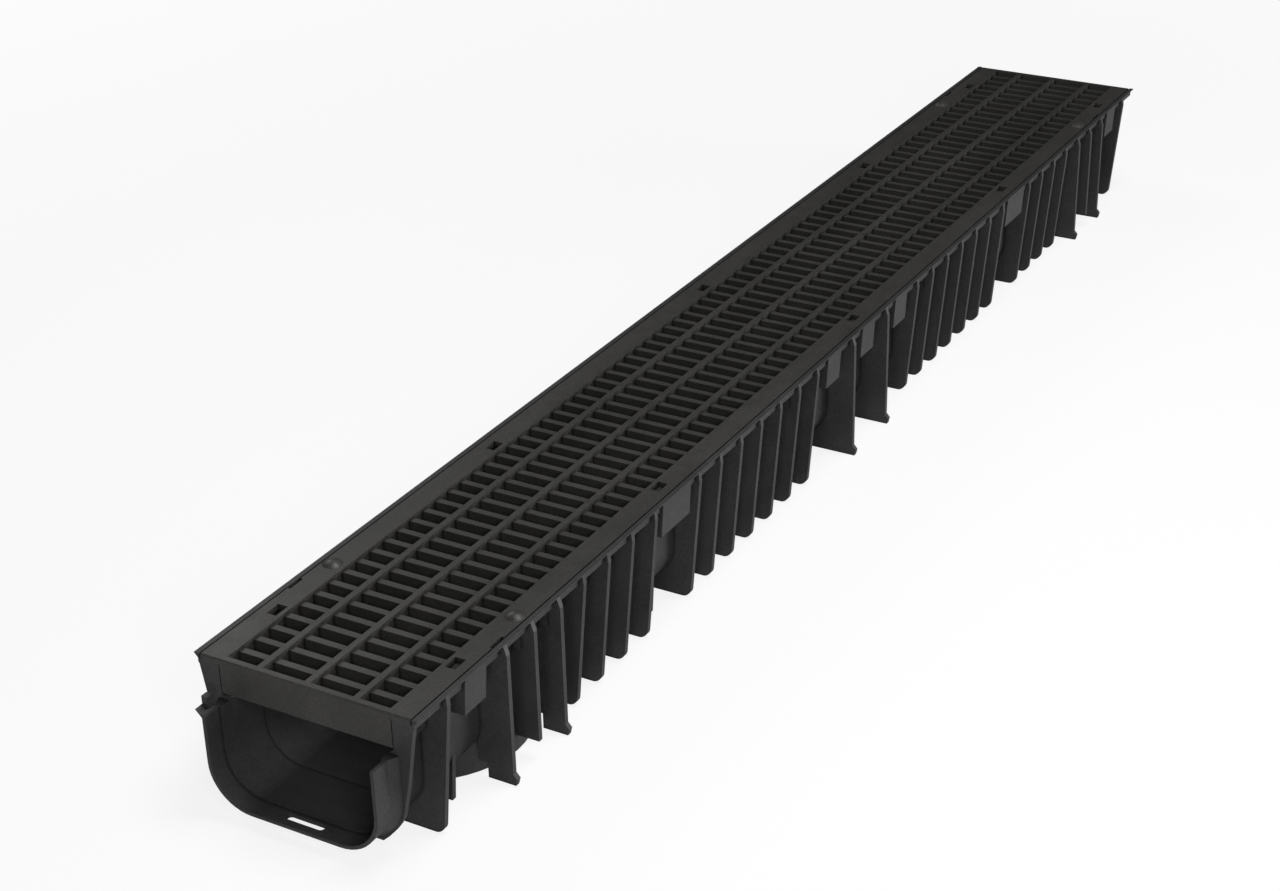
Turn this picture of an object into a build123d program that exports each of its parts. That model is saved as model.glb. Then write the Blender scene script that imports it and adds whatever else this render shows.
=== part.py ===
from build123d import *
import os

# Linear drainage channel with a slotted grating, in millimetres.
# X runs along the channel, with the sleeve end at -X. Z is up and the feet stand on Z = 0.
# X = 0 is the middle of the metre of grating while the pieces are made, and the middle of the
# overall length once they are placed.

# Overall sizes
channel_length = 1000.0
body_height = 81.5
rim_half_width = 65.4

# Rim and ledge that hold the grating
rim_width = 3.0
rim_neck = 0.9
rim_edge_height = 0.5
rim_bevel_height = 2.3
ledge_thickness = 2.5
grating_gap = 0.8
grating_end_gap = 0.5

# Trough
trough_half_width = 49.0
trough_wall = 3.0
floor_drop = 72.5
trough_corner_radius = 22.6
upper_wall = 2.5
shoulder_drop = 20.0
shoulder_height = 3.0

# Sleeve at the near end, which takes the spigot of the next channel
sleeve_reach = 16.5
sleeve_growth = 1.4
sleeve_wall = 2.0
sleeve_top_drop = 23.0
flare_length = 5.7
flare_rise = 3.0
end_step_depth = 25.0
end_step_height = 1.0
sleeve_slot_length = 22.4
sleeve_slot_width = 4.4
sleeve_slot_inset = 6.5
sleeve_slot_offset = -1.6

# Catch on the left side of the sleeve: a grooved wedge with a small tooth behind it
catch_length = 11.5
catch_tip_length = 5.3
catch_reach = 3.8
catch_tip_height = 2.8
catch_depth = 1.1
catch_groove = 0.5
tooth_length = 4.0
tooth_reach = 3.6
tooth_height = 7.5

# Collar behind the sleeve: drops below the top, with the plate's inset from the rim there
collar_thickness = 3.0
collar_outline = [(3.0, 2.2), (20.0, 5.0), (38.3, 7.9), (58.7, 12.2)]
collar_bend = (66.5, 16.8)
collar_foot = (76.0, 25.4)

# Spigot at the far end, which enters the sleeve of the channel before it
joint_clearance = 0.5
spigot_reach = 10.0

# Ribs
rib_pitch = 25.0
rib_thickness = 3.0
rib_top_overhang = 0.6
rib_foot_inset = 6.4
rib_corner_cut = 3.2
low_rib_inset = 2.0
hooked_overhang = 1.7
hook_reach = 2.3
hook_height = 6.4
hook_tip_height = 3.8
hook_tip_cut = 0.9
short_rib_drop = 70.6

# Places of the other ribs: from the channel's middle, and from its ends
middle_hooked_rib = 25.0
end_hooked_ribs = [75.0, 125.0]
end_short_rib = 100.0

# Side pockets for the grating's tongues
narrow_pocket = 18.5
wide_pocket = 31.5
middle_pocket = 50.0
end_pocket = 50.0
pocket_inset = 1.8
pocket_top_inset = 0.4
pocket_drop = 21.5
pocket_wall = 1.8

# Small lugs on the ribs, below the ledge
middle_lug = 100.0
end_lugs = [100.0, 125.0]
lug_length = 2.5
lug_width = 3.5
lug_inset = 5.9
lug_drop = 16.5

# Closed outlet under the floor at the sleeve end
outlet_end_distance = 100.0
outlet_radius = 54.0
outlet_wall = 2.5
outlet_drop = 79.5
outlet_top_drop = 58.0
outlet_draft = 1.5
pipe_clearance_radius = 58.5

# Grating
rail_width = 13.6
rail_thickness = 3.0
grid_depth = 19.3
side_wall = 2.3
end_bar = 4.0
end_bevel = 0.8
long_bar = 3.4
long_bar_offset = 28.4
cross_bar = 4.0
cross_bar_drop = 1.5
slot_count = 82

# Holes, domes, notches and tongues on the rails
rail_hole_length = 9.8
rail_hole_width = 6.0
dome_diameter = 11.0
dome_height = 2.3
dome_end_distance = 100.0
dome_edge_distance = 5.8
notch_length = 11.0
notch_depth = 1.6
notch_end_distance = 75.0
tongue_thickness = 2.0
tongue_depth = 13.0
tongue_end_clearance = 1.5
tongue_gap = 0.8

# Values that follow from the ones above
channel_end = channel_length / 2
rim_edge = body_height - rim_edge_height
grating_half_width = rim_half_width - rim_width - grating_gap
rim_inside = rim_half_width - rim_width
ledge_height = body_height - rail_thickness
ledge_underside = ledge_height - ledge_thickness
grid_half_width = grating_half_width - rail_width
grid_side_half_width = grid_half_width + side_wall
upper_inside = grid_side_half_width + grating_end_gap
upper_outside = upper_inside + upper_wall
trough_inside = trough_half_width - trough_wall
pocket_half_width = rim_half_width - pocket_inset
outlet_place = outlet_end_distance - channel_end
sleeve_half_width = trough_half_width + sleeve_growth
sleeve_top = body_height - sleeve_top_drop
floor_underside = body_height - floor_drop
shoulder = body_height - shoulder_drop
slot_pitch = (channel_length - 2 * end_bar + cross_bar) / slot_count
slot_length = slot_pitch - cross_bar


def on_pitch(place):
    """The rib place nearest to a place along the channel."""
    return rib_pitch * round(place / rib_pitch)


def from_end(distance):
    """The rib place nearest to a distance from the channel's ends."""
    return on_pitch(channel_end - distance)


def mirrored(half):
    """Adds the mirror image of a half outline on the other side of the middle plane."""
    return half + mirror(half, about=Plane.YZ)


def along_x(outline, start, length):
    """Extrudes an outline drawn in Y and Z along the channel."""
    return extrude(Plane.YZ.offset(start) * outline, amount=length)


def block(x_range, y_range, z_range):
    """Box between three pairs of limits."""
    size = [high - low for low, high in (x_range, y_range, z_range)]
    middle = [(high + low) / 2 for low, high in (x_range, y_range, z_range)]
    return Pos(*middle) * Box(*size)


def on_both_sides(solid):
    """A solid and its mirror image across the middle plane of the channel."""
    return solid + mirror(solid, about=Plane.XZ)


def u_outline(half_width, floor, top, corner_radius):
    """Filled U outline: straight sides, flat floor, round lower corners."""
    outline = Pos(0, (floor + top) / 2) * Rectangle(2 * half_width, top - floor)
    lower_corners = outline.vertices().sort_by(Axis.Y)[:2]
    return fillet(lower_corners, corner_radius)


def grown_u(growth, top):
    """U outline of the trough's outer face, grown outwards by the given distance."""
    return u_outline(
        trough_half_width + growth, floor_underside - growth, top, trough_corner_radius + growth
    )


def upper_outline(half_width, foot_half_width, top):
    """Filled outline of the wide upper part, with its sloping shoulder."""
    half = make_face(
        Polyline(
            (0, shoulder - shoulder_height),
            (foot_half_width, shoulder - shoulder_height),
            (half_width, shoulder),
            (half_width, top),
            (0, top),
            close=True,
        )
    )
    return mirrored(half)


def rim_outline():
    """Filled outline of the ledge and the bevelled rim above it."""
    neck = rim_inside + rim_neck
    half = make_face(
        Polyline(
            (0, ledge_underside),
            (neck, ledge_underside),
            (neck, rim_edge - rim_bevel_height),
            (rim_half_width, rim_edge),
            (rim_half_width, body_height),
            (rim_inside, body_height),
            (rim_inside, ledge_height),
            (0, ledge_height),
            close=True,
        )
    )
    return mirrored(half)


def body_outline():
    """Filled outer section of the channel, without its inside."""
    outline = grown_u(0, shoulder)
    outline += upper_outline(upper_outside, trough_half_width, ledge_height)
    outline += rim_outline()
    return outline


def inside_outline(growth=0.0):
    """Section of the space inside the channel, down to the floor."""
    outline = grown_u(growth - trough_wall, body_height)
    outline += upper_outline(upper_inside, trough_inside + growth, body_height)
    return outline


def rib_top():
    """Upper end of every half rib outline: under the rim's bevel, then along the ledge."""
    return [
        (rim_half_width, rim_edge),
        (rim_inside, rim_edge),
        (rim_inside, ledge_height),
        (0, ledge_height),
    ]


def regular_rib():
    """Rib outline with tapering sides and cut corners at the feet."""
    foot = (rim_half_width - rib_foot_inset, 0)
    top = (rim_half_width + rib_top_overhang, ledge_underside)
    half = make_face(Polyline((0, 0), foot, top, *rib_top(), close=True))
    corner = half.vertices().group_by(Axis.Y)[0].sort_by(Axis.X)[-1]
    return mirrored(chamfer(corner, rib_corner_cut))


def hooked_rib():
    """Rib outline with upright sides that end in an outward hook for the concrete."""
    side = rim_half_width + hooked_overhang
    sides = [
        (0, 0),
        (side + hook_reach - hook_tip_cut, 0),
        (side + hook_reach, hook_tip_height),
        (side, hook_height),
        (side, ledge_underside),
    ]
    return mirrored(make_face(Polyline(*sides, *rib_top(), close=True)))


def short_rib():
    """Rib outline that stops above the feet of its neighbours."""
    foot = body_height - short_rib_drop
    side = rim_half_width + hooked_overhang
    sides = [(0, foot), (side, foot), (side, ledge_underside)]
    return mirrored(make_face(Polyline(*sides, *rib_top(), close=True)))


def low_rib():
    """Outline of the ribs below the pockets, no wider than the trough."""
    top = floor_underside + trough_corner_radius
    foot = (trough_half_width - low_rib_inset, 0)
    half = make_face(Polyline((0, 0), foot, (trough_half_width, top), (0, top), close=True))
    return mirrored(half)


def tongue_pockets():
    """Place and width of the pockets that take a tongue, on one half of the channel."""
    return [
        (0.0, narrow_pocket),
        (on_pitch(channel_end / 2), wide_pocket),
        (from_end(end_pocket), narrow_pocket),
    ]


def pockets():
    """Place and width of every pocket on one half of the channel."""
    return tongue_pockets() + [(on_pitch(middle_pocket), narrow_pocket)]


def rib_kind(distance):
    """Which outline the rib at a distance from the channel's middle has."""
    if distance in [place for place, _ in pockets()]:
        return "low"
    if distance in [on_pitch(middle_hooked_rib), *map(from_end, end_hooked_ribs)]:
        return "hooked"
    if distance == from_end(end_short_rib):
        return "short"
    return "regular"


def ribs():
    """A transverse rib at every pitch, cut free of a pipe pushed onto the outlet."""
    outlines = {
        "regular": regular_rib(),
        "hooked": hooked_rib(),
        "short": short_rib(),
        "low": low_rib(),
    }
    last = int((channel_end - rib_pitch) / rib_pitch)
    solids = []
    for step in range(-last, last + 1):
        place = step * rib_pitch
        outline = outlines[rib_kind(abs(place))]
        solids.append(along_x(outline, place - rib_thickness / 2, rib_thickness))
    pipe = Pos(outlet_place, 0, floor_underside / 2) * Cylinder(pipe_clearance_radius, floor_underside)
    return Part() + solids - pipe


def lugs():
    """Small lugs on the ribs' faces, hanging from the ledge."""
    side = rim_half_width - lug_inset
    places = [-on_pitch(middle_lug), on_pitch(middle_lug)]
    places += [-from_end(distance) for distance in end_lugs]
    solids = []
    for place in places:
        face = place - rib_thickness / 2
        heights = (body_height - lug_drop, ledge_underside)
        solids.append(block((face - lug_length, face), (side - lug_width, side), heights))
    return on_both_sides(Part() + solids)


def pocket(place, width):
    """Outer wall of a pocket, still filled, with a slightly leaning face up to the rim."""
    floor = body_height - pocket_drop
    outline = make_face(
        Polyline(
            (trough_inside, floor),
            (pocket_half_width, floor),
            (rim_half_width - pocket_top_inset, rim_edge),
            (rim_inside, rim_edge),
            (rim_inside, ledge_height),
            (trough_inside, ledge_height),
            close=True,
        )
    )
    return along_x(outline, place - width / 2, width)


def pocket_space(place, width):
    """Space inside a pocket, open through the ledge and at the bottom."""
    half = width / 2 - pocket_wall
    floor = body_height - pocket_drop
    return block(
        (place - half, place + half),
        (upper_outside, pocket_half_width - pocket_wall),
        (floor - shoulder_height, ledge_height),
    )


def all_pockets(shape):
    """The same pocket shape at every pocket place, on both sides."""
    places = sorted({(side * place, width) for place, width in pockets() for side in (-1, 1)})
    return on_both_sides(Part() + [shape(place, width) for place, width in places])


def collar():
    """End plate behind the sleeve, with a curved lower edge."""
    *points, bend, foot = [
        (rim_half_width - inset, body_height - drop)
        for drop, inset in [*collar_outline, collar_bend, collar_foot]
    ]
    top = points[0][1]
    edge = Polyline((0, top), *points)
    curve = ThreePointArc(points[-1], bend, foot)
    close = Polyline(foot, (0, foot[1]), (0, top))
    plate = mirrored(make_face(edge + curve + close))
    return along_x(plate, -channel_end, collar_thickness)


def sleeve():
    """Sleeve and its flare, still filled."""
    tube = along_x(grown_u(sleeve_growth, sleeve_top), -channel_end - sleeve_reach, sleeve_reach)
    narrow = Plane.YZ.offset(-channel_end - flare_length) * grown_u(sleeve_growth, sleeve_top)
    wide = Plane.YZ.offset(-channel_end) * grown_u(sleeve_growth + flare_rise, sleeve_top)
    return tube + loft([narrow, wide])


def sleeve_space():
    """Inside of the sleeve and of the stepped end of the trough."""
    inside = grown_u(sleeve_growth - sleeve_wall, body_height)
    tube = along_x(inside, -channel_end - sleeve_reach, sleeve_reach - flare_length)
    step = along_x(
        inside_outline(end_step_height), -channel_end - flare_length, flare_length + end_step_depth
    )
    return tube + step


def sleeve_slot():
    """Slot through the floor of the sleeve."""
    outline = Rot(0, 0, 90) * SlotOverall(sleeve_slot_length, sleeve_slot_width)
    place = Pos(-channel_end - sleeve_reach + sleeve_slot_inset, sleeve_slot_offset, 0)
    return extrude(place * outline, amount=floor_underside + trough_corner_radius)


def catch_outline():
    """Section of the wedge: a sloping top with two grooves, and an undercut below its tip."""
    inner = sleeve_half_width - sleeve_wall
    tip = sleeve_half_width + catch_reach
    step = (tip - inner) / 5
    rise = catch_tip_height / 5
    top = []
    for number in range(1, 5):
        groove = catch_groove if number in (1, 3) else 0
        top.append((inner + number * step, sleeve_top + number * rise - groove))
    return make_face(
        Polyline(
            (inner, sleeve_top - catch_depth),
            (sleeve_half_width, sleeve_top - catch_depth),
            (tip, sleeve_top + catch_tip_height),
            *reversed(top),
            (inner, sleeve_top),
            close=True,
        )
    )


def sleeve_catch():
    """Grooved wedge and the small tooth behind it, on the sleeve's left side."""
    start = -channel_end - sleeve_reach
    tip = sleeve_half_width + catch_reach
    wedge = along_x(catch_outline(), start, catch_length)
    behind = make_face(
        Polyline(
            (start + catch_tip_length, tip),
            (start + catch_length, sleeve_half_width - sleeve_wall),
            (start + catch_length, tip),
            close=True,
        )
    )
    wedge -= extrude(Pos(0, 0, sleeve_top - tooth_height) * behind, amount=2 * tooth_height)
    tooth = block(
        (start + catch_tip_length, start + catch_tip_length + tooth_length),
        (sleeve_half_width, sleeve_half_width + tooth_reach),
        (sleeve_top - catch_depth, sleeve_top + tooth_height),
    )
    return wedge + tooth


def spigot():
    """End of the trough that enters the next sleeve, still filled."""
    growth = sleeve_growth - sleeve_wall - joint_clearance
    return along_x(grown_u(growth, sleeve_top - joint_clearance), channel_end, spigot_reach)


def outlet_ring():
    """Short ring below the floor, closed by the floor until it is knocked out."""
    foot = body_height - outlet_drop
    top = body_height - outlet_top_drop
    upward = (Align.CENTER, Align.CENTER, Align.MIN)
    ring_height = floor_underside - foot
    neck_height = top - floor_underside
    neck_radius = outlet_radius - outlet_draft
    bore = outlet_radius - outlet_wall
    ring = Cylinder(outlet_radius, ring_height, align=upward)
    ring -= Cylinder(bore, ring_height, align=upward)
    neck = Cone(outlet_radius, neck_radius, neck_height, align=upward)
    neck -= Cone(bore, bore - outlet_draft, neck_height - outlet_wall, align=upward)
    return Pos(outlet_place, 0, foot) * (ring + Pos(0, 0, ring_height) * neck)


def channel_body():
    """Complete channel moulding."""
    body = along_x(body_outline(), -channel_end, channel_length)
    body += ribs()
    body += lugs()
    body += all_pockets(pocket)
    body += collar()
    body += sleeve()
    body += sleeve_catch()
    body += spigot()
    body += outlet_ring()
    body -= along_x(inside_outline(), -channel_end, channel_length + spigot_reach)
    body -= sleeve_space()
    body -= sleeve_slot()
    body -= all_pockets(pocket_space)
    return body


def column_bounds():
    """Inner and outer edge of the slot columns on one side of the middle bar."""
    inner = (long_bar / 2, long_bar_offset - long_bar / 2)
    outer = (long_bar_offset + long_bar / 2, grid_half_width)
    return [inner, outer]


def slot_outline():
    """All slots of the grid."""
    slots = []
    first = -channel_end + end_bar + slot_length / 2
    for low, high in column_bounds():
        for number in range(slot_count):
            for side in (-1, 1):
                place = Pos(first + number * slot_pitch, side * (low + high) / 2)
                slots.append(place * Rectangle(slot_length, high - low))
    return Sketch() + slots


def grid():
    """Crossbars, slightly below the top of the long bars."""
    outline = Rectangle(channel_length, 2 * grid_side_half_width) - slot_outline()
    return extrude(Pos(0, 0, body_height - grid_depth) * outline, amount=grid_depth - cross_bar_drop)


def long_bars():
    """Three bars that run the whole length, flush with the top."""
    heights = (body_height - grid_depth, body_height)
    length = (-channel_end, channel_end)
    middle = block(length, (-long_bar / 2, long_bar / 2), heights)
    side = block(length, (column_bounds()[0][1], column_bounds()[1][0]), heights)
    return middle + on_both_sides(side)


def rails():
    """Flat rails that lie on the ledge, and the walls under them."""
    length = (-channel_end, channel_end)
    flange = block(length, (grid_half_width, grating_half_width), (ledge_height, body_height))
    wall = block(length, (grid_half_width, grid_side_half_width), (body_height - grid_depth, ledge_height))
    return on_both_sides(flange + wall)


def end_aprons():
    """Plates that close the grating at both ends."""
    width = (-grid_side_half_width, grid_side_half_width)
    apron = block((-channel_end, end_bar - channel_end), width, (body_height - grid_depth, body_height))
    return apron + mirror(apron, about=Plane.YZ)


def end_bevels():
    """Space in front of the bevelled top edges at both ends of the grating."""
    corner = make_face(
        Polyline(
            (-channel_end, body_height - end_bevel),
            (-channel_end, body_height),
            (end_bevel - channel_end, body_height),
            close=True,
        )
    )
    bevel = extrude(Plane.XZ * corner, amount=grating_half_width, both=True)
    return bevel + mirror(bevel, about=Plane.YZ)


def dome():
    """Smooth round cap standing on the rail."""
    radius = dome_diameter / 2
    ball_radius = (radius**2 + dome_height**2) / (2 * dome_height)
    ball = Pos(0, 0, body_height + dome_height - ball_radius) * Sphere(ball_radius)
    keep = Pos(0, 0, body_height - rail_thickness / 2)
    upward = (Align.CENTER, Align.CENTER, Align.MIN)
    return ball & keep * Box(dome_diameter, dome_diameter, ball_radius, align=upward)


def on_four_rail_places(solid, place, offset):
    """The solid at both ends and on both rails."""
    spots = [(x, y) for x in {-place, place} for y in (-offset, offset)]
    return Part() + [Pos(x, y, 0) * solid for x, y in spots]


def rail_hole():
    """Square hole down through a rail, above a pocket."""
    height = 2 * rail_thickness
    return Pos(0, 0, body_height) * Box(rail_hole_length, rail_hole_width, height)


def tongues():
    """Locating tongues that reach down into the pockets under the rail holes."""
    outer = pocket_half_width - pocket_wall - tongue_gap
    solids = []
    for place, width in tongue_pockets():
        half = width / 2 - pocket_wall - tongue_end_clearance
        for side in {-place, place}:
            solids.append(
                block(
                    (side - half, side + half),
                    (outer - tongue_thickness, outer),
                    (ledge_height - tongue_depth, ledge_height),
                )
            )
    return on_both_sides(Part() + solids)


def grating():
    """Complete slotted grating."""
    body = grid() + long_bars() + rails() + end_aprons() + tongues()
    dome_offset = grating_half_width - dome_edge_distance
    body += on_four_rail_places(dome(), channel_end - dome_end_distance, dome_offset)
    hole_offset = grid_side_half_width + rail_hole_width / 2
    for place, _ in tongue_pockets():
        body -= on_four_rail_places(rail_hole(), place, hole_offset)
    notch = Pos(0, 0, body_height) * Box(notch_length, 2 * notch_depth, 2 * rail_thickness)
    body -= on_four_rail_places(notch, channel_end - notch_end_distance, grating_half_width)
    return body - end_bevels()


def main():
    os.makedirs("parts", exist_ok=True)
    place = Pos((sleeve_reach - spigot_reach) / 2, 0, 0)
    export_step(place * channel_body(), "parts/channel_body.step")
    export_step(place * grating(), "parts/grating.step")


main()
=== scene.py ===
import math

import bpy
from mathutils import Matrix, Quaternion, Vector

# Linear drainage channel with a slotted grating, dressed for the picture. All sizes are in metres.

# Photograph and camera
photo_width = 1280
focal_length_in_pixels = 2315.6
sensor_width = 36.0
camera_place = Vector((-1.21125, -0.6039, 0.6805))
camera_target = Vector((-0.20908, -0.02030, 0.0815))
camera_roll = math.radians(-1.474)

# Floor: its shadow is kept up to shadow_reach from the middle and fades out at shadow_end
floor_size = 8.0
floor_gap = 0.0003
floor_colour = (0.5, 0.5, 0.5, 1.0)
backdrop_white = (1.0, 1.0, 1.0, 1.0)
shadow_share = 0.18
shadow_reach = 0.6
shadow_end = 1.6
world_light = 0.03

# Soft lamps: place, target, side length and power in watts
lamps = {
    "key_light": (Vector((0.9, -1.8, 0.3)), Vector((0.0, 0.0, 0.05)), 0.8, 30.0),
    "top_light": (Vector((-0.1, -0.35, 1.4)), Vector((-0.15, 0.0, 0.05)), 0.6, 11.0),
    "side_light": (Vector((-1.4, -1.0, 0.9)), Vector((-0.2, 0.0, 0.05)), 0.6, 12.3),
    "back_light": (Vector((0.4, 1.3, 1.2)), Vector((-0.2, 0.0, 0.05)), 0.8, 6.3),
    "low_light": (Vector((-1.5, -0.5, 0.12)), Vector((-0.5, 0.0, 0.05)), 0.2, 2.6),
}

# Softened edges of the mouldings
weld_distance = 0.00001
flat_angle = math.radians(0.4)
edge_radius = 0.0005
edge_segments = 2
edge_angle = math.radians(32.0)

# Rounded feet of the ribs: the cut corners lie between these half widths and below this height
foot_inside = 0.055
foot_outside = 0.060
foot_height = 0.0034
foot_radius = 0.0017
foot_segments = 3

# Plastics: colour, roughness and height of the grain
channel_finish = ((0.0315, 0.0315, 0.0318), 0.52, 0.00005)
grating_finish = ((0.0355, 0.0345, 0.0315), 0.48, 0.000065)
refraction = 1.46

# Patterns in the plastic: size and detail of the noise, and the range that it is spread over
pattern_middle = (0.3, 0.7)
flow_scale = 30.0
flow_detail = 4.0
flow_stretch = (0.25, 1.0, 1.0)
flow_shades = (0.82, 1.18)
grain_scale = 1100.0
grain_detail = 2.0
grain_shades = (0.72, 1.28)
grain_strength = 0.5
gloss_scale = 90.0
gloss_detail = 3.0
gloss_spread = 0.06

# Painted shade: ambient occlusion darkens the plastic's colour in creases and seams within this
# reach
painted_crease_shade_reach = 0.002
painted_crease_shade_strength = 1.6


def aimed(place, target, roll=0.0):
    """Rotation that looks from one point to another, turned about the line of sight."""
    look = (target - place).to_track_quat("-Z", "Y")
    return look @ Quaternion((0, 0, 1), roll)


def add_object(name, data):
    """A new object in the scene."""
    piece = bpy.data.objects.new(name, data)
    bpy.context.scene.collection.objects.link(piece)
    return piece


def add_camera():
    """The photograph's own camera."""
    data = bpy.data.cameras.new("camera")
    data.sensor_width = sensor_width
    data.lens = focal_length_in_pixels * sensor_width / photo_width
    camera = add_object("camera", data)
    camera.location = camera_place
    camera.rotation_mode = "QUATERNION"
    camera.rotation_quaternion = aimed(camera_place, camera_target, camera_roll)
    bpy.context.scene.camera = camera


def add_softbox(name, place, target, size, power):
    """A square soft lamp aimed at a point."""
    data = bpy.data.lights.new(name, "AREA")
    data.size = size
    data.energy = power
    lamp = add_object(name, data)
    lamp.location = place
    lamp.rotation_mode = "QUATERNION"
    lamp.rotation_quaternion = aimed(place, target)


def add_node(tree, kind, inputs=None, **settings):
    """A new node with its settings made, and its inputs linked to a socket or set to a value."""
    node = tree.nodes.new(kind)
    for name, value in settings.items():
        setattr(node, name, value)
    for name, value in (inputs or {}).items():
        if isinstance(value, bpy.types.NodeSocket):
            tree.links.new(value, node.inputs[name])
        else:
            node.inputs[name].default_value = value
    return node


def calculated(tree, operation, first, second):
    """The result of a calculation with two numbers."""
    inputs = {0: first, 1: second}
    return add_node(tree, "ShaderNodeMath", inputs, operation=operation).outputs["Value"]


def emptied(holder):
    """The empty node tree of a material or world."""
    holder.use_nodes = True
    holder.node_tree.nodes.clear()
    return holder.node_tree


def floor_material():
    """Paper with a soft shadow of the part near it; to the camera it is white further out."""
    material = bpy.data.materials.new("studio_floor")
    tree = emptied(material)
    camera_ray = add_node(tree, "ShaderNodeLightPath").outputs["Is Camera Ray"]
    colours = {"Factor": camera_ray, "A": floor_colour, "B": backdrop_white}
    colour = add_node(tree, "ShaderNodeMix", colours, data_type="RGBA")
    paper = add_node(tree, "ShaderNodeBsdfDiffuse", {"Color": colour.outputs["Result"]})
    glow = add_node(tree, "ShaderNodeEmission", {"Color": backdrop_white})

    place = add_node(tree, "ShaderNodeTexCoord").outputs["Object"]
    distance = add_node(tree, "ShaderNodeVectorMath", {0: place}, operation="LENGTH")
    limits = {
        "Value": distance.outputs["Value"],
        "From Min": shadow_reach,
        "From Max": shadow_end,
        "To Min": 1.0 - shadow_share,
        "To Max": 1.0,
    }
    white_share = add_node(tree, "ShaderNodeMapRange", limits).outputs["Result"]
    seen = calculated(tree, "MULTIPLY", camera_ray, white_share)
    parts = {"Fac": seen, 1: paper.outputs["BSDF"], 2: glow.outputs["Emission"]}
    mix = add_node(tree, "ShaderNodeMixShader", parts)
    add_node(tree, "ShaderNodeOutputMaterial", {"Surface": mix.outputs["Shader"]})
    return material


def add_floor():
    """A plain white floor under the feet."""
    half = floor_size / 2
    corners = [(-half, -half, 0), (half, -half, 0), (half, half, 0), (-half, half, 0)]
    mesh = bpy.data.meshes.new("studio_floor")
    mesh.from_pydata(corners, [], [(0, 1, 2, 3)])
    mesh.materials.append(floor_material())
    floor = add_object("studio_floor", mesh)
    floor.location.z = -floor_gap


def set_world():
    """An even sky that lights the part, and is white where the camera sees it."""
    world = bpy.data.worlds.new("studio")
    tree = emptied(world)
    lighting = add_node(tree, "ShaderNodeBackground", {"Strength": world_light})
    backdrop = add_node(tree, "ShaderNodeBackground", {"Color": backdrop_white})
    parts = {
        "Fac": add_node(tree, "ShaderNodeLightPath").outputs["Is Camera Ray"],
        1: lighting.outputs["Background"],
        2: backdrop.outputs["Background"],
    }
    mix = add_node(tree, "ShaderNodeMixShader", parts)
    add_node(tree, "ShaderNodeOutputWorld", {"Surface": mix.outputs["Shader"]})
    bpy.context.scene.world = world


def noise(tree, place, scale, detail, stretch=(1.0, 1.0, 1.0)):
    """A noise pattern in the part's own metres, stretched by three factors."""
    mapping = add_node(tree, "ShaderNodeMapping", {"Vector": place, "Scale": stretch})
    inputs = {"Vector": mapping.outputs["Vector"], "Scale": scale, "Detail": detail}
    return add_node(tree, "ShaderNodeTexNoise", inputs).outputs["Fac"]


def ranged(tree, value, low, high):
    """Maps a pattern's middle range to the given limits."""
    limits = {
        "Value": value,
        "From Min": pattern_middle[0],
        "From Max": pattern_middle[1],
        "To Min": low,
        "To Max": high,
    }
    return add_node(tree, "ShaderNodeMapRange", limits).outputs["Result"]


def plastic_colour(tree, colour, flow, grain):
    """The colour with faint flow marks and grain, and painted shade that darkens it in the
    creases.
    """
    dark, light = [(*[shade * c for c in colour], 1.0) for shade in flow_shades]
    shades = {"Factor": ranged(tree, flow, 0.0, 1.0), "A": dark, "B": light}
    shade = add_node(tree, "ShaderNodeMix", shades, data_type="RGBA")
    # Painted shade: ambient occlusion darkens the colour in creases, seams and slots
    crease = add_node(tree, "ShaderNodeAmbientOcclusion", {"Distance": painted_crease_shade_reach})
    painted_crease_shade = calculated(tree, "POWER", crease.outputs["AO"], painted_crease_shade_strength)
    grain_and_painted_shade = calculated(tree, "MULTIPLY", painted_crease_shade, ranged(tree, grain, *grain_shades))
    inputs = {"Vector": shade.outputs["Result"], "Scale": grain_and_painted_shade}
    return add_node(tree, "ShaderNodeVectorMath", inputs, operation="SCALE").outputs["Vector"]


def moulded_plastic(name, colour, roughness, grain_height):
    """Black moulded plastic: fine grain, faint flow marks, uneven gloss and painted shade in the
    creases.
    """
    material = bpy.data.materials.new(name)
    tree = emptied(material)
    place = add_node(tree, "ShaderNodeTexCoord").outputs["Object"]
    flow = noise(tree, place, flow_scale, flow_detail, flow_stretch)
    grain = noise(tree, place, grain_scale, grain_detail)
    gloss = noise(tree, place, gloss_scale, gloss_detail)
    relief = {"Strength": grain_strength, "Distance": grain_height, "Height": grain}
    inputs = {
        "Base Color": plastic_colour(tree, colour, flow, grain),
        "Roughness": ranged(tree, gloss, roughness - gloss_spread, roughness + gloss_spread),
        "Normal": add_node(tree, "ShaderNodeBump", relief).outputs["Normal"],
        "IOR": refraction,
    }
    plastic = add_node(tree, "ShaderNodeBsdfPrincipled", inputs)
    add_node(tree, "ShaderNodeOutputMaterial", {"Surface": plastic.outputs["BSDF"]})
    return material


def join_triangles(piece):
    """Joins the CAD triangles into the flat faces they stand for."""
    weld = piece.modifiers.new("weld", "WELD")
    weld.merge_threshold = weld_distance
    flat = piece.modifiers.new("flat", "DECIMATE")
    flat.decimate_type = "DISSOLVE"
    flat.angle_limit = flat_angle


def compared(tree, value, operation, limit):
    """Whether a value is LESS_THAN or GREATER_THAN a limit."""
    inputs = {0: value, 1: limit}
    return add_node(tree, "FunctionNodeCompare", inputs, operation=operation).outputs["Result"]


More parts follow.
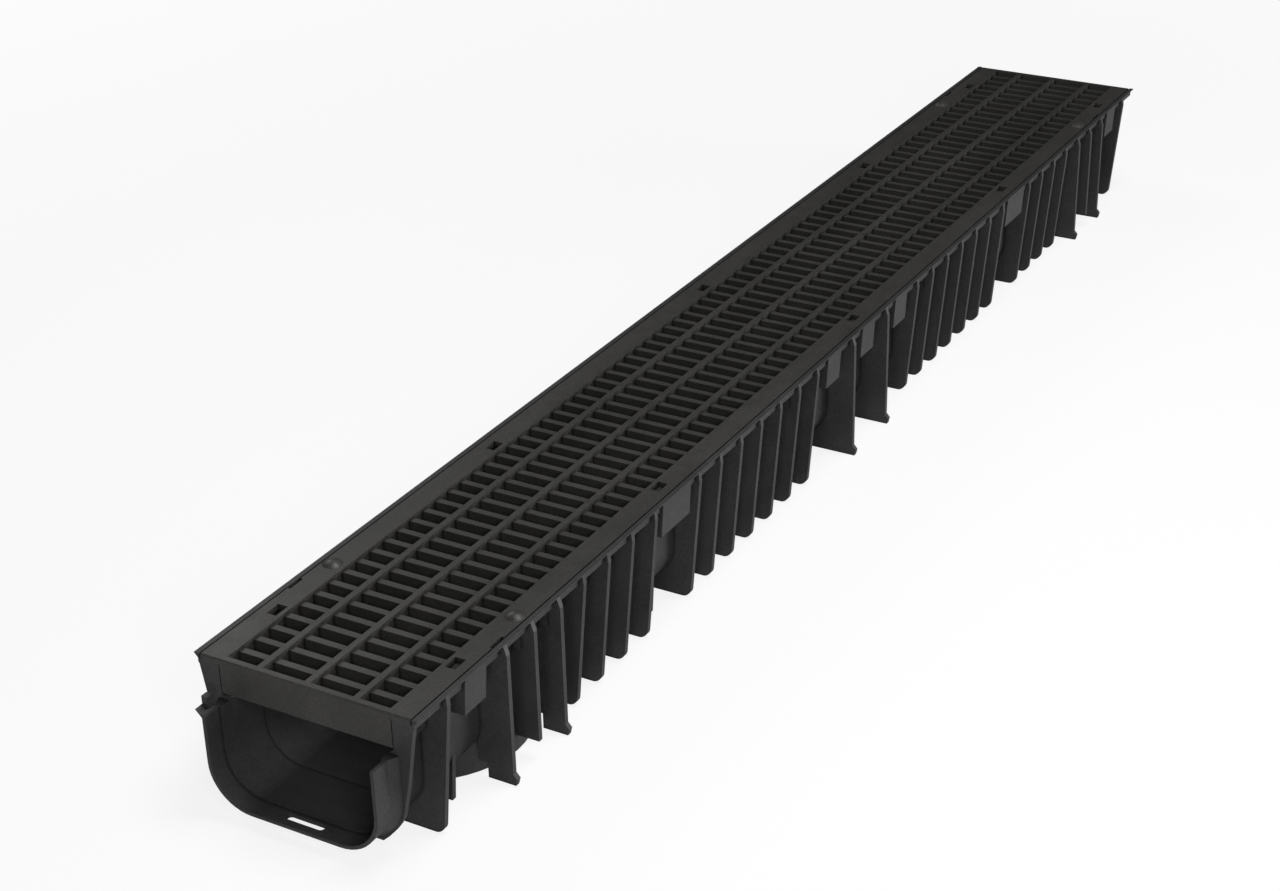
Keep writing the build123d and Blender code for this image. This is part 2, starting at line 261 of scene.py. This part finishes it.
def length_across(tree):
    """An edge's length as seen along the channel, which is none where the edge runs along it."""
    ends = add_node(tree, "GeometryNodeInputMeshEdgeVertices").outputs
    positions = {0: ends["Position 1"], 1: ends["Position 2"]}
    run = add_node(tree, "ShaderNodeVectorMath", positions, operation="SUBTRACT")
    factors = {0: run.outputs["Vector"], 1: (0.0, 1.0, 1.0)}
    across = add_node(tree, "ShaderNodeVectorMath", factors, operation="MULTIPLY")
    inputs = {0: across.outputs["Vector"]}
    return add_node(tree, "ShaderNodeVectorMath", inputs, operation="LENGTH").outputs["Value"]


def foot_edges():
    """Node group that marks the edges along the channel at the ribs' cut corners, for rounding."""
    tree = bpy.data.node_groups.new("foot_edges", "GeometryNodeTree")
    for side in ("INPUT", "OUTPUT"):
        tree.interface.new_socket("Geometry", in_out=side, socket_type="NodeSocketGeometry")
    position = add_node(tree, "GeometryNodeInputPosition").outputs["Position"]
    place = add_node(tree, "ShaderNodeSeparateXYZ", {0: position}).outputs
    absolute = add_node(tree, "ShaderNodeMath", {0: place["Y"]}, operation="ABSOLUTE")
    half_width = absolute.outputs["Value"]

    chosen = compared(tree, length_across(tree), "LESS_THAN", weld_distance)
    for value, operation, limit in (
        (half_width, "GREATER_THAN", foot_inside),
        (half_width, "LESS_THAN", foot_outside),
        (place["Z"], "LESS_THAN", foot_height),
    ):
        both = {0: chosen, 1: compared(tree, value, operation, limit)}
        chosen = add_node(tree, "FunctionNodeBooleanMath", both).outputs["Boolean"]

    marks = {
        "Geometry": add_node(tree, "NodeGroupInput").outputs["Geometry"],
        "Selection": chosen,
        "Name": "bevel_weight_edge",
        "Value": 1.0,
    }
    marked = add_node(tree, "GeometryNodeStoreNamedAttribute", marks, domain="EDGE")
    add_node(tree, "NodeGroupOutput", {"Geometry": marked.outputs["Geometry"]})
    return tree


def round_feet(piece):
    """Turns the cut corners of the ribs' feet into round ones."""
    marks = piece.modifiers.new("foot_edges", "NODES")
    marks.node_group = foot_edges()
    round_corner = piece.modifiers.new("foot", "BEVEL")
    round_corner.width = foot_radius
    round_corner.segments = foot_segments
    round_corner.limit_method = "WEIGHT"


def soften_edges(piece):
    """Small radii on the moulding's edges, which catch the light."""
    edge = piece.modifiers.new("edge", "BEVEL")
    edge.width = edge_radius
    edge.segments = edge_segments
    edge.limit_method = "ANGLE"
    edge.angle_limit = edge_angle
    shade = piece.modifiers.new("shade", "WEIGHTED_NORMAL")
    shade.keep_sharp = True


def dress(node, material):
    """Gives a CAD node its material and softened edges."""
    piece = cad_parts[node]
    piece.material_slots[0].material = material
    join_triangles(piece)
    if node == "channel_body":
        round_feet(piece)
    soften_edges(piece)


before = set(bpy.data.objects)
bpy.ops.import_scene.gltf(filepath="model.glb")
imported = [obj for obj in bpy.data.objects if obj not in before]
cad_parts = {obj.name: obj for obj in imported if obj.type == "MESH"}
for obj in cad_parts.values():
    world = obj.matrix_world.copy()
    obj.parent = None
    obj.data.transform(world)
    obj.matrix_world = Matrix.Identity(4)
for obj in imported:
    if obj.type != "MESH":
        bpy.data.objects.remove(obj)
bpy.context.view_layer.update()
bpy.context.scene.view_settings.view_transform = "Standard"

add_camera()
set_world()
add_floor()
for name, (place, target, size, power) in lamps.items():
    add_softbox(name, place, target, size, power)

# Both plastics carry painted shade in their creases
dress("channel_body", moulded_plastic("channel_plastic_with_painted_crease_shade", *channel_finish))
dress("grating", moulded_plastic("grating_plastic_with_painted_crease_shade", *grating_finish))
